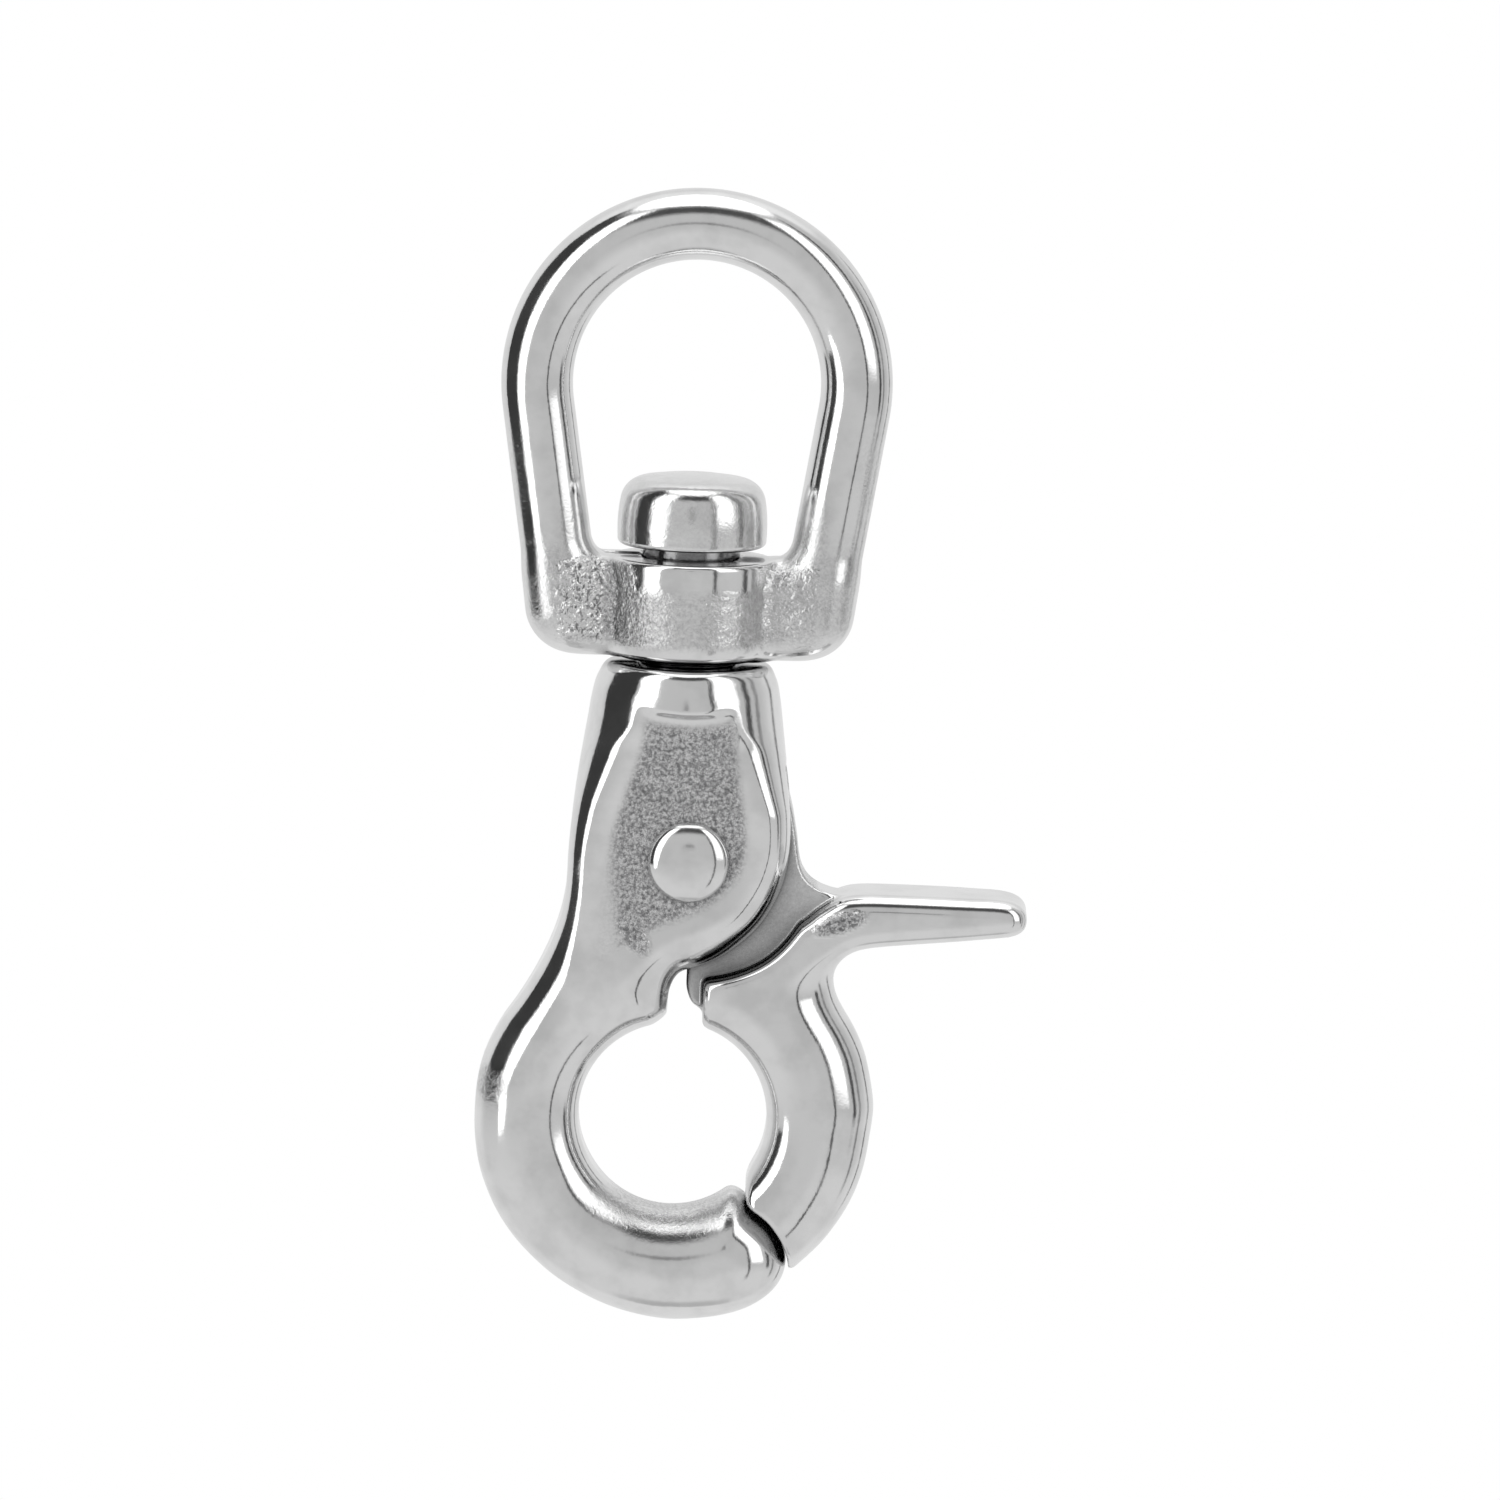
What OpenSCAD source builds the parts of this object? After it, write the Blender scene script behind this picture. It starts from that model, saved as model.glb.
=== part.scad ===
// Swivel hook: a bail that turns on a headed stud, and a hook whose jaw is a
// sprung trigger on a cross pin. Millimetres, +Z up, the swivel axis is Z.
// Origin: centre of the bail's inner arc. The trigger pin runs along Y, the
// hook's spine is on -X and the thumb lever on +X.

/* [Bail] */
// Diameter of the round bail wire
wire_d = 4.4; // [4.0:0.1:4.8]
// Radius of the bail's inner arc
bail_r = 7.6; // [7.4:0.1:8.2]
// Inward slope of the bail legs in degrees
leg_slope = 8.9; // [8:0.1:10]
// Diameter of the bored boss in the bail's base
boss_d = 10.4; // [9.8:0.1:11]
// Height of the bail's base
base_h = 6.2; // [5.8:0.1:6.4]

/* [Swivel stud] */
// Diameter of the stud's head
head_d = 9.2; // [8.6:0.1:9.6]
// Height of the stud's head
head_h = 4.4; // [3.6:0.1:4.6]
// Diameter of the shank that turns in the bail
shank_d = 6.0; // [5.4:0.1:6.4]
// Radial running clearance of the shank
shank_gap = 0.08; // [0.02:0.01:0.1]

/* [Hook] */
// Radius of the hook's eye
eye_r = 5.8; // [5.4:0.1:6.0]
// Outside radius of the hook's bend
bend_r = 12.2; // [12:0.1:12.6]
// Depth of the hook's bar, front to back
bar_t = 7.0; // [6.6:0.1:7.2]
// Depth over the cheeks' flat faces
cheek_t = 8.4; // [8.2:0.1:8.8]
// Width of the slot between the cheeks
slot_t = 3.6; // [3.5:0.05:3.8]
// Gap between the nose and the jaw
nose_gap = 0.35; // [0.2:0.05:0.5]

/* [Trigger] */
// Side clearance of the tongue in the slot, each side
tongue_gap = 0.1; // [0.05:0.01:0.12]
// Depth of the thumb lever, front to back
lever_t = 6.6; // [6:0.1:7]
// Reach of the thumb lever from the swivel axis
lever_x = 21.3; // [19:0.1:22]

/* [Pin and spring] */
// Diameter of the pivot rivet's pin
pin_d = 3.0; // [2.8:0.1:3.1]
// Diameter of the rivet's heads
rivet_head_d = 5.1; // [4.6:0.1:5.6]
// Height of each rivet head above the cheek
rivet_head_h = 1.0; // [0.6:0.1:1.2]
// Diameter of the spring wire
spring_d = 0.5; // [0.4:0.02:0.5]

/* [Hidden] */
$fn = 96;

// Bail
wire_r = wire_d / 2;
arc_r = bail_r + wire_r;                  // centre line of the bail's arc
leg_top_x = arc_r * cos(leg_slope);       // where arc and leg meet
leg_top_z = -arc_r * sin(leg_slope);
base_bot = -16.9;
base_top = base_bot + base_h;
leg_foot_z = base_bot + 3.3;              // foot of the leg's axis
leg_foot_x = leg_top_x - (leg_top_z - leg_foot_z) * tan(leg_slope);
base_x = leg_foot_x + wire_r - 0.15;      // half length of the base

// Stud and neck
head_z = -10.0;                           // underside of the stud's head
neck_z = -17.2;                           // top face of the hook body
neck_bot = -20.6;
neck_r = 6.0;
stub_d = 5.0;                             // lower end of the stud
stub_gap = 0.02;
stub_z = -21.4;

// Centres and radii of the hook, in X and Z
pivot_x = 0.45;
pivot_z = -29.05;
eye_z = -45.1;
bend_z = -45.95;                          // centre of the bend's outside
nose_x = 3.5;                             // centre of the nose's arc
nose_z = -54.5;
nose_r = 3.65;
spine_x = -20.2;                          // centre of the spine's hollow side
spine_z = -30.5;
spine_r = 13.2;
cheek_r = 6.1;                            // cheeks about the pivot
cheek_bot = -36.76;                       // lower end of the full cheek depth
lobe_bot = -40;
slit_left = -0.55;                        // faces of the slit over the eye
slit_right = 0.5;
bar_r_in = 4.4;                           // inner radius of bend and jaw, inside the eye
bar_round = 2.7;                          // rounding of their outer edges
rim_r = 3.0;                              // rounding of the cheeks' rims
rim_y = 1.6;
pin_fit = 0.02;                           // radial gap of the pin in the cheeks

// Trigger
jaw_r = 12.3;                             // upper arc of the jaw, about the eye
shoulder_r = 8.0;
hub_r = 4.6;
web_r = 6.85;
tongue_t = slot_t - 2 * tongue_gap;
pin_gap = 0.06;                           // radial gap of the pin in the trigger
lever_top = -30.85;                       // faces of the lever's upper bar
lever_low = -33.4;
lever_round = 0.9;
lever_end_r = 1.5;
lever_end_x = lever_x - lever_end_r;
lever_end_z = -32.15;

// Spring and its pocket; angles are in X and Z about the pivot, from +X
coil_r = pin_d / 2 + 0.12 + spring_d / 2; // centre line of the coil
coil_start = -10;
coil_end = 90 + 2 * 360;
coil_pitch = spring_d + 0.03;
coil_y = -tongue_t / 2 + 0.1 + spring_d / 2;
pocket_r = coil_r + spring_d / 2 + 0.3;
pocket_t = 2.0;

// ---- Shared shapes ----

// a flat profile in X and Z, made t deep in Y about the centre plane
module slab(t) {
  slab_from(-t / 2, t) children();
}

// the same, from y0 towards +Y by t
module slab_from(y0, t) {
  rotate([90, 0, 0]) translate([0, 0, -y0 - t]) linear_extrude(t) children();
}

// a profile in Y and Z, extruded from x0 towards +X
module along_x(x0, length) {
  translate([x0, 0, 0]) rotate([90, 0, 90]) linear_extrude(length) children();
}

// lays the Z axis of its children along Y through (x, z)
module about_y(x, z) {
  translate([x, 0, z]) rotate([90, 0, 0]) children();
}

// a profile in radius and Y, turned from angle a0 to a1 about Y through (x, z)
module turned(x, z, a0, a1) {
  about_y(x, z) rotate([0, 0, a0]) rotate_extrude(angle = a1 - a0) children();
}

// two circles of radius r at (x, y) and (x, -y)
module circle_pair(x, y, r) {
  for (s = [-1, 1]) translate([x, s * y]) circle(r = r);
}

module at_pivot() {
  translate([pivot_x, pivot_z]) children();
}

module sector(r, a0, a1, steps) {
  arc = [for (i = [0:steps]) let (a = a0 + (a1 - a0) * i / steps) r * [cos(a), sin(a)]];
  polygon(concat([[0, 0]], arc));
}

// cutter for a round wall of radius r whose lips, rounded by lip, start inset
// from the bar's faces; reach is how far it extends
module lipped_bore(x, z, r, lip, inset, reach) {
  lip_y = bar_t / 2 - inset;
  about_y(x, z) rotate_extrude() difference() {
    union() {
      translate([0, -6]) square([r, 12]);
      for (s = [0, 1]) mirror([0, s]) translate([0, lip_y]) square([r + lip, reach]);
    }
    circle_pair(r + lip, lip_y, lip);
  }
}

module eye_cut() {
  lip = 1.9;
  lipped_bore(0, eye_z, eye_r, lip, inset = lip, reach = 6);
}

module pin_bore(gap) {
  about_y(pivot_x, pivot_z) cylinder(r = pin_d / 2 + gap, h = 30, center = true);
}

// section of bend and jaw: square inside, rounded outside
module bar_section(r_out, t) {
  translate([bar_r_in, -t / 2]) square([r_out - bar_round - bar_r_in, t]);
  translate([bar_r_in, -t / 2 + bar_round]) square([r_out - bar_r_in, t - 2 * bar_round]);
  circle_pair(r_out - bar_round, t / 2 - bar_round, bar_round);
}

module bend(a0, a1) {
  turned(0, bend_z, a0, a1) bar_section(bend_r, bar_t);
}

module nose_region(grow) {
  translate([nose_x, nose_z]) circle(r = nose_r + grow);
  translate([-14, -60]) square([14 + nose_x - 0.2 + grow, 14]);
}

// ---- Bail ----

// flat sides, rounded top and bottom, rounded lower corners
module bail_base() {
  corner_r = 3.6;
  corner_x = base_x - corner_r;
  corner_z = base_bot + 3;
  intersection() {
    along_x(-14, 28) {
      for (z = [base_bot + wire_r, base_top - wire_r]) translate([0, z]) circle(r = wire_r);
      translate([-wire_r, base_bot + wire_r]) square([wire_d, base_h - wire_d]);
    }
    slab(10) {
      translate([-base_x, corner_z]) square([2 * base_x, base_h]);
      translate([-corner_x, corner_z - corner_r]) square([2 * corner_x, 5]);
      for (s = [-1, 1]) translate([s * corner_x, corner_z]) circle(r = corner_r);
    }
  }
}

module bail_boss() {
  edge = 0.5; // rounding of the boss's edges
  core_r = boss_d / 2 - edge;
  translate([0, 0, base_bot]) rotate_extrude() {
    square([core_r, base_h]);
    translate([0, edge]) square([boss_d / 2, base_h - 2 * edge]);
    for (z = [edge, base_h - edge]) translate([core_r, z]) circle(r = edge);
  }
}

module bail() {
  color([0.80, 0.80, 0.80]) difference() {
    union() {
      turned(0, 0, -leg_slope, 180 + leg_slope) translate([arc_r, 0]) circle(r = wire_r);
      for (s = [-1, 1]) {
        translate([s * leg_foot_x, 0, leg_foot_z]) rotate([0, s * leg_slope, 0])
          cylinder(r = wire_r - 0.01, h = (leg_top_z - leg_foot_z) / cos(leg_slope) + 0.3);
        // gusset from the leg to the base's top
        slab(3.0) polygon([
          [s * 5.3, base_top - 0.5],
          [s * (leg_foot_x - 0.2), base_top - 0.5],
          [s * (leg_foot_x + 0.1), base_top + 2.0],
          [s * (leg_foot_x - 1.5), base_top + 1.7]
        ]);
      }
      bail_base();
      bail_boss();
    }
    translate([0, 0, base_bot - 1]) cylinder(r = shank_d / 2 + shank_gap, h = base_h + 2);
  }
}

// ---- Swivel stud ----

module swivel_stud() {
  head_r = head_d / 2;
  chamfer = 0.35; // head's lower edge
  dome = 1.5;     // rounding of the head's upper edge
  color([0.86, 0.86, 0.84]) rotate_extrude() {
    translate([0, head_z]) polygon([
      [0, 0], [head_r - chamfer, 0], [head_r, chamfer],
      [head_r, head_h - dome], [head_r - dome, head_h], [0, head_h]
    ]);
    translate([head_r - dome, head_z + head_h - dome]) circle(r = dome);
    translate([0, neck_z]) square([shank_d / 2, head_z - neck_z + 0.1]);
    translate([0, stub_z]) square([stub_d / 2, neck_z - stub_z + 0.1]);
  }
}

// ---- Hook body ----

// outline of the cheeks down to the slit over the eye, in X and Z
module cheek_outline() {
  difference() {
    union() {
      at_pivot() circle(r = cheek_r);
      polygon([
        [-5.75, -20.4], [5.7, -20.4], [6.1, -22.5], [6.45, -25.6], [6.6, -28.0],
        [pivot_x + cheek_r, pivot_z],
        [pivot_x + cheek_r * cos(-45), pivot_z + cheek_r * sin(-45)],
        [3.75, -34.45], [2.55, -35.25], [1.1, -36.0], [0.2, -36.4],
        [slit_left, -36.75], [slit_left, lobe_bot], [-10.6, lobe_bot],
        [-10.6, -31], [-7.0, -30.4], [-6.6, -26]
      ]);
    }
    translate([spine_x, spine_z]) circle(r = spine_r);
  }
}

// a rim: a rod with flat sides between two [x, z] points, rounded front and
// back, whose proud faces run out at the lower end
module rim(top, bottom) {
  run = bottom - top;
  low_z = bottom[1];
  low_y = rim_r + rim_y - 1.3;
  intersection() {
    translate([top[0], 0, top[1]]) rotate([0, atan2(run[0], run[1]), 0])
      linear_extrude(norm(run)) {
        circle_pair(0, rim_y, rim_r);
        translate([-rim_r, -rim_y]) square([2 * rim_r, 2 * rim_y]);
      }
    along_x(-20, 40) polygon([
      [-6, top[1] + 2], [6, top[1] + 2], [6, low_z + 5],
      [low_y, low_z], [-low_y, low_z], [-6, low_z + 5]
    ]);
  }
}

// round neck with a rounded top edge, closed below by half a ball
module neck() {
  edge = 0.5;
  edge_r = 4.7;
  rotate_extrude() {
    polygon([
      [0, neck_z], [edge_r, neck_z], [edge_r, neck_z - edge], [edge_r + edge, neck_z - edge],
      [5.65, neck_z - 1.2], [5.9, neck_z - 2.6], [neck_r, neck_bot], [0, neck_bot]
    ]);
    translate([edge_r, neck_z - edge]) circle(r = edge);
  }
  intersection() {
    translate([0, 0, neck_bot]) sphere(r = neck_r);
    translate([-8, -8, neck_bot - 8]) cube([16, 16, 8]);
  }
}

// curved bar running down into the bend
module spine() {
  round_r = 2.9;
  inset = 3.1; // circle centres, in from the bar's faces
  turned(spine_x, spine_z, -42, 0) {
    circle_pair(spine_r + round_r, bar_t / 2 - inset, round_r);
    translate([spine_r, -bar_t / 2 + inset]) square([2 * round_r, bar_t - 2 * inset]);
  }
}

module cheeks() {
  slab(cheek_t) intersection() {
    cheek_outline();
    translate([-4.6, -40]) square([16, 24]);
    translate([-14, cheek_bot]) square([28, 24]);
  }
  // lobe between the spine and the slit
  slab(bar_t) intersection() {
    cheek_outline();
    translate([-7.6, lobe_bot]) square([20, 8]);
  }
}

// flat recess between the rims, on both faces
module cheek_recess() {
  depth = 8;
  for (y0 = [cheek_t / 2, -cheek_t / 2 - depth]) slab_from(y0, depth) polygon([
    [-2.8, -21.0], [3.0, -21.0], [3.9, -25.0], [5.2, -29.2], [9, -29.6],
    [9, -38], [-3.5, -38], [-4.9, -33.2], [-4.5, -30], [-4.1, -27.0]
  ]);
}

// slot for the tongue
module tongue_slot() {
  slab(slot_t) {
    at_pivot() {
      circle(r = hub_r + 0.3);
      sector(web_r + 0.3, -100, 70, 20);
      translate([1.5, 0]) square([20, 5.6]);
    }
    translate([slit_left, -41]) square([20, 41 - 33.2]);
    translate([pivot_x, -36]) square([20, 36 + pivot_z + 3.5]);
  }
}

module hook_body() {
  color([0.74, 0.75, 0.76]) difference() {
    union() {
      neck();
      rim([-2.96, -20.2], [-4.25, -32.4]);
      rim([2.85, -20.2], [3.6, -30.0]);
      spine();
      cheeks();
      // bend and nose
      intersection() {
        bend(88, 318);
        union() {
          translate([-15, -10, -62]) cube([15 + slit_left, 20, 30]);
          slab(20) nose_region(0);
        }
      }
    }
    eye_cut();
    cheek_recess();
    tongue_slot();
    pin_bore(pin_fit);
    // seat of the stud
    translate([0, 0, stub_z - 0.1]) cylinder(r = stub_d / 2 + stub_gap, h = 10);
  }
}

// ---- Trigger ----

// jaw in two arcs that meet at its middle, and the root of the lever
module jaw() {
  difference() {
    union() {
      intersection() {
        union() {
          bend(-50, 5);
          turned(0, eye_z, -2, 88) bar_section(jaw_r, bar_t - 0.1);
        }
        slab(20) difference() {
          translate([slit_right, -60]) square([20, 30]);
          nose_region(nose_gap);
        }
      }
      slab(bar_t - 0.3) polygon([
        [slit_right + 0.02, -39], [slit_right + 0.02, -35], [7.4, -33.1], [8.7, -31.75],
        [9.9, -31.0], [11.2, -30.85], [11.0, -35.05], [10.35, -38.05], [8.0, -38.6], [5.4, -39]
      ]);
    }
    // shoulder that clears the cheeks
    slab(20) at_pivot() circle(r = shoulder_r);
    // round-lipped hollow under the lever
    lipped_bore(11.2, -36.65, r = 1.6, lip = 1.2, inset = 1.6, reach = 5);
  }
}

// thumb lever: two rounded bars that taper together, and a round end
module thumb_lever() {
  root_x = 9.6;
  side = lever_t / 2 - lever_round; // flat half depth inside the rounding
  low_t = 2.4;                      // thickness of the lower bar
  end_round = 0.7;
  end_core = lever_end_r - end_round;
  along_x(root_x, lever_end_x - root_x) {
    translate([-side, lever_low]) square([2 * side, lever_top - lever_low]);
    translate([-lever_t / 2, lever_low + lever_round])
      square([lever_t, lever_top - lever_low - 2 * lever_round]);
    for (z = [lever_top - lever_round, lever_low + lever_round])
      for (s = [-1, 1]) translate([s * side, z]) circle(r = lever_round);
  }
  // lower bar, from the round end back towards the jaw
  translate([lever_end_x, 0, lever_end_z - lever_end_r]) rotate([0, -97.6, 0])
    linear_extrude(9.6) {
      translate([0, -side]) square([low_t, 2 * side]);
      translate([lever_round, -lever_t / 2]) square([low_t - lever_round, lever_t]);
      circle_pair(lever_round, side, lever_round);
    }
  about_y(lever_end_x, lever_end_z) rotate_extrude() {
    translate([0, -lever_t / 2]) square([end_core, lever_t]);
    translate([0, -lever_t / 2 + end_round]) square([lever_end_r, lever_t - 2 * end_round]);
    circle_pair(end_core, lever_t / 2 - end_round, end_round);
  }
}

module tongue() {
  slab(tongue_t) at_pivot() {
    circle(r = hub_r);
    intersection() {
      circle(r = web_r);
      sector(12, -89, 38, 12);
    }
    intersection() {
      circle(r = shoulder_r + 0.6);
      sector(12, -89.5, -12, 12);
    }
  }
}

// pocket for the coil in the -Y face, open where the fixed leg passes, grooved
// for the other
module coil_pocket() {
  slab_from(-tongue_t / 2 - 1, pocket_t + 1) at_pivot() {
    circle(r = pocket_r);
    sector(hub_r + 2, 50, 176, 12);
    translate([coil_r * cos(coil_start), coil_r * sin(coil_start)]) rotate(coil_start - 90)
      translate([0, -spring_d / 2 - 0.2]) square([3.5, spring_d + 0.4]);
  }
}

module trigger() {
  color([0.70, 0.71, 0.73]) difference() {
    union() {
      jaw();
      thumb_lever();
      tongue();
    }
    eye_cut();
    pin_bore(pin_gap);
    coil_pocket();
  }
}

// ---- Pin and spring ----

module pivot_rivet() {
  edge = 0.7; // rounding of the heads
  rise = 0.3; // height of the heads' straight wall
  head_r = rivet_head_d / 2;
  color([0.84, 0.83, 0.80]) about_y(pivot_x, pivot_z) rotate_extrude() {
    translate([0, -cheek_t / 2 - 0.1]) square([pin_d / 2, cheek_t + 0.2]);
    for (s = [0, 1]) mirror([0, s]) translate([0, cheek_t / 2]) intersection() {
      union() {
        square([head_r, rise]);
        translate([0, rise]) square([head_r - edge, rivet_head_h - rise]);
        translate([head_r - edge, rise]) circle(r = min(edge, rivet_head_h - rise));
      }
      square([rivet_head_d, rivet_head_h]);
    }
  }
}

// closed tube: a straight leg, a coil about the pivot, a straight leg
module torsion_spring() {
  steps = 84; // along the coil
  sides = 12; // around the wire
  sweep = coil_end - coil_start;
  wire_end = steps + 2;
  // stations: angle about the pivot, distance along the tangent there
  path = concat(
    [[coil_start, -3.2]],
    [for (i = [0:steps]) [coil_start + sweep * i / steps, 0]],
    [[coil_end, 4.35]]
  );
  points = [for (p = path) for (j = [0:sides - 1])
    let (
      around = 360 * j / sides,
      r = coil_r + spring_d / 2 * cos(around),
      y = coil_y + coil_pitch * (p[0] - coil_start) / 360 + spring_d / 2 * sin(around)
    )
    [
      pivot_x + r * cos(p[0]) - p[1] * sin(p[0]),
      y,
      pivot_z + r * sin(p[0]) + p[1] * cos(p[0])
    ]];
  walls = [for (i = [0:wire_end - 1]) for (j = [0:sides - 1])
    let (a = i * sides, k = (j + 1) % sides)
    [a + j, a + k, a + sides + k, a + sides + j]];
  caps = [
    [for (j = [0:sides - 1]) sides - 1 - j],
    [for (j = [0:sides - 1]) wire_end * sides + j]
  ];
  color([0.55, 0.56, 0.60])
    polyhedron(points = points, faces = concat(walls, caps), convexity = 6);
}

bail();
swivel_stud();
hook_body();
trigger();
pivot_rivet();
torsion_spring();
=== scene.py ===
"""Swivel hook: a bail on top, a turned stud, and a hook body with a sprung trigger.

Z is up, with the bail's ring centred on the origin and the hook's eye near z = -45.
X points right, and the flat sides face -Y (front, towards the camera) and +Y (back).
Pieces are in millimetres until a mesh is made; materials, studio and camera are in metres.
"""
import math
from itertools import product

import bpy
import numpy as np
from mathutils import Matrix, Vector


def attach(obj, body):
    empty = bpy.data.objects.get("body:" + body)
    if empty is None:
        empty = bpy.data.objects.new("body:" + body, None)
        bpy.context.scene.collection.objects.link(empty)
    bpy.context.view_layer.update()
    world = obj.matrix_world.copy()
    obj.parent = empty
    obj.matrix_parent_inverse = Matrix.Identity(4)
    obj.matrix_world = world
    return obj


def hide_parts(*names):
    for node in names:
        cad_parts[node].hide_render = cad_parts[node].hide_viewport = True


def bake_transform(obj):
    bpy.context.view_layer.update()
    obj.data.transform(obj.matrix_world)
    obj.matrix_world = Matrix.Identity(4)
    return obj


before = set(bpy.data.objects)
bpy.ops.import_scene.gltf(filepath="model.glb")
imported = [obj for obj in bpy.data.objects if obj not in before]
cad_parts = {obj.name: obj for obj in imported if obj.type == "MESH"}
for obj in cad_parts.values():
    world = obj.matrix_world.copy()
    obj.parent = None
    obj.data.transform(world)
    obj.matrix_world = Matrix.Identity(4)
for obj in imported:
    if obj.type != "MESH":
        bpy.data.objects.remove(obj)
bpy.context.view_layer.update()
CELL = 0.19        # grid of the cast pieces
TURN_SIDES = 192     # sides of the turned pieces

# Places and sizes that several pieces share
PIN_X, PIN_Z = 0.45, -29.05                # trigger pin, along Y
EYE_Z, EYE_R = -45.1, 5.8
SLOT_HALF, TONGUE_HALF = 1.8, 1.7          # half depths in Y
COIL_R, COIL_START = 1.87, math.radians(-10)


# ---------------------------------------------------------------- distance fields
def mix(start, end, share):
    return start + (end - start) * share


def soft_min(a, b, blend):
    share = np.clip(0.5 + 0.5 * (b - a) / blend, 0, 1)
    return mix(b, a, share) - blend * share * (1 - share)


def soft_max(a, b, blend):
    return -soft_min(-a, -b, blend)


def rise(low, high, value):
    """Smooth step from 0 at low to 1 at high."""
    t = np.clip((value - low) / (high - low), 0, 1)
    return t * t * t * (t * (6 * t - 15) + 10)


def fall(low, high, value):
    return 1 - rise(low, high, value)


def peak(x, z, centre_x, centre_z, spread_x, spread_z):
    """Bell of height 1 at the centre."""
    return np.exp(-(x - centre_x) ** 2 / spread_x - (z - centre_z) ** 2 / spread_z)


def rounded(flat, y, half, radius):
    """Flat shape made 2 * half deep in Y, with its edges rounded."""
    a, b = flat + radius, np.abs(y) - half + radius
    outside = np.sqrt(np.maximum(a, 0) ** 2 + np.maximum(b, 0) ** 2)
    return np.minimum(np.maximum(a, b), 0) + outside - radius


def from_pin(x, z):
    return np.sqrt((x - PIN_X) ** 2 + (z - PIN_Z) ** 2)


def eye_hole(x, z):
    """Positive inside the eye, whose hole sits a little left of and below its centre."""
    left, drop = 0.05, 0.2
    return EYE_R - np.sqrt((x + left) ** 2 + (z - EYE_Z + drop) ** 2)


def turned(x, y):
    """X as seen from the side that y lies on: mirrored at the back."""
    return x * np.sign(-y)


def bell_weights(count, step, soft):
    weights = np.exp(-0.5 * (np.arange(-count, count + 1) * step / soft) ** 2)
    return weights / weights.sum()


class Curve:
    """Smooth function of one variable through (position, value) knots in rising order."""
    STEP, MARGIN = 0.04, 6

    def __init__(self, knots, soft):
        at, values = zip(*knots)
        self.at = np.arange(at[0] - self.MARGIN, at[-1] + self.MARGIN, self.STEP)
        count = int(4 * soft / self.STEP)
        padded = np.pad(np.interp(self.at, at, values), count, mode="edge")
        self.values = np.convolve(padded, bell_weights(count, self.STEP, soft), mode="valid")

    def __call__(self, position):
        return np.interp(position, self.at, self.values)


def spline(points, pieces=10):
    """Closed Catmull-Rom curve through the points."""
    p = np.array(points, float)
    a, b, c, d = (np.roll(p, shift, 0)[:, None, :] for shift in (1, 0, -1, -2))
    t = (np.arange(pieces) / pieces)[None, :, None]
    curve = 0.5 * (2 * b + (c - a) * t + (2 * a - 5 * b + 4 * c - d) * t ** 2
                   + (3 * b - a - 3 * c + d) * t ** 3)
    return curve.reshape(-1, 2)


class Outline:
    """Signed distance to a closed curve in X and Z, softened on a grid and read back smoothly."""
    STEP, MARGIN = 0.1, 5.0

    def __init__(self, points, soft):
        starts = spline(points)
        low, high = starts.min(0) - self.MARGIN, starts.max(0) + self.MARGIN
        nx, nz = np.ceil((high - low) / self.STEP).astype(int) + 1
        grid = np.meshgrid(low[0] + np.arange(nx) * self.STEP,
                           low[1] + np.arange(nz) * self.STEP, indexing="ij")
        x, z = (axis.ravel() for axis in grid)
        nearest = np.full(x.size, 1e9)
        inside = np.zeros(x.size, bool)
        for start, end in zip(starts, np.roll(starts, -1, 0)):
            edge = end - start
            dx, dz = x - start[0], z - start[1]
            t = np.clip((dx * edge[0] + dz * edge[1]) / (edge @ edge), 0, 1)
            nearest = np.minimum(nearest, (dx - t * edge[0]) ** 2 + (dz - t * edge[1]) ** 2)
            if start[1] != end[1]:
                spans = (start[1] > z) != (end[1] > z)
                inside ^= spans & (x < edge[0] * (z - start[1]) / (end[1] - start[1]) + start[0])
        distance = (np.where(inside, -1, 1) * np.sqrt(nearest)).reshape(nx, nz)
        count = int(3 * soft / self.STEP)
        weights = bell_weights(count, self.STEP, soft)
        for pad in (((count, count), (0, 0)), ((0, 0), (count, count))):
            padded = np.pad(distance, pad, mode="edge")
            along_x = pad[0][0] > 0
            distance = sum(
                weight * (padded[j:j + nx, :] if along_x else padded[:, j:j + nz])
                for j, weight in enumerate(weights))
        self.low, self.distance = low, distance

    def __call__(self, x, z):
        nx, nz = self.distance.shape
        u = np.clip((x - self.low[0]) / self.STEP, 1.001, nx - 3.001)
        v = np.clip((z - self.low[1]) / self.STEP, 1.001, nz - 3.001)
        i, j = u.astype(int), v.astype(int)

        def cubic(f):
            """Cubic B-spline weights, smooth to the second derivative."""
            return ((1 - f) ** 3 / 6, (3 * f ** 3 - 6 * f ** 2 + 4) / 6,
                    (-3 * f ** 3 + 3 * f ** 2 + 3 * f + 1) / 6, f ** 3 / 6)
        weights_u, weights_v = cubic(u - i), cubic(v - j)
        flat = self.distance.ravel()
        total = 0
        for a in range(4):
            row = (i + a - 1) * nz + j
            total = total + weights_u[a] * sum(weights_v[b] * flat[row + b - 1] for b in range(4))
        return total


# ---------------------------------------------------------------- meshes
def gradient(field, points, reach):
    slope = np.empty_like(points)
    for axis in range(3):
        ahead, behind = points.copy(), points.copy()
        ahead[:, axis] += reach
        behind[:, axis] -= reach
        slope[:, axis] = (field(*ahead.T) - field(*behind.T)) / (2 * reach)
    return slope


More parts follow.
